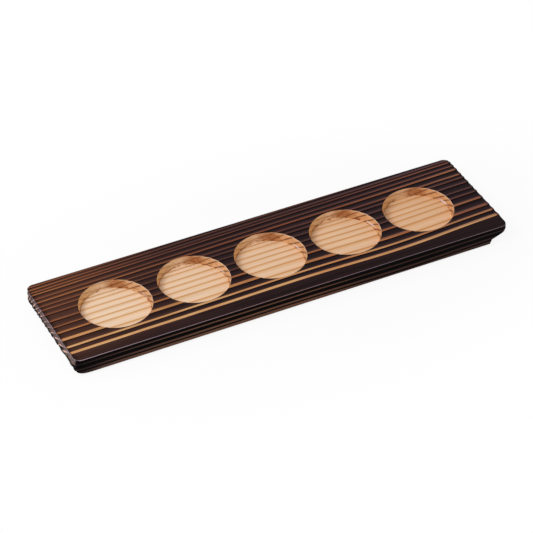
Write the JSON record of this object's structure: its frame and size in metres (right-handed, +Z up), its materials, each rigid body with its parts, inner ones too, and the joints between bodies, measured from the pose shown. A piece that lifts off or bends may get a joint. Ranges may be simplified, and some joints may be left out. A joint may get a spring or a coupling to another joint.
{
  "type": "sake tasting tray",
  "caption": "Long brushed dark cedar tray with a row of round, pale cup recesses, raised grain, a finger-hold under the right end and small non-slip pads.",
  "frame": {"origin": "centre of the bounding box on the surface that the pads stand on", "axes": "+X along the plank towards the end with the finger-hold, +Y towards the back edge, +Z up"},
  "size_m": [0.39, 0.103, 0.017],
  "materials": {
    "cedar": "dark brushed cedar with bare pale recesses, satin clear coat",
    "pad_rubber": "matt non-slip rubber"
  },
  "bodies": {
    "root": {"cedar_plank": "cedar", "pad_front_left": "pad_rubber", "pad_front_right": "pad_rubber", "pad_back_left": "pad_rubber", "pad_back_right": "pad_rubber"}
  },
  "joints": []
}
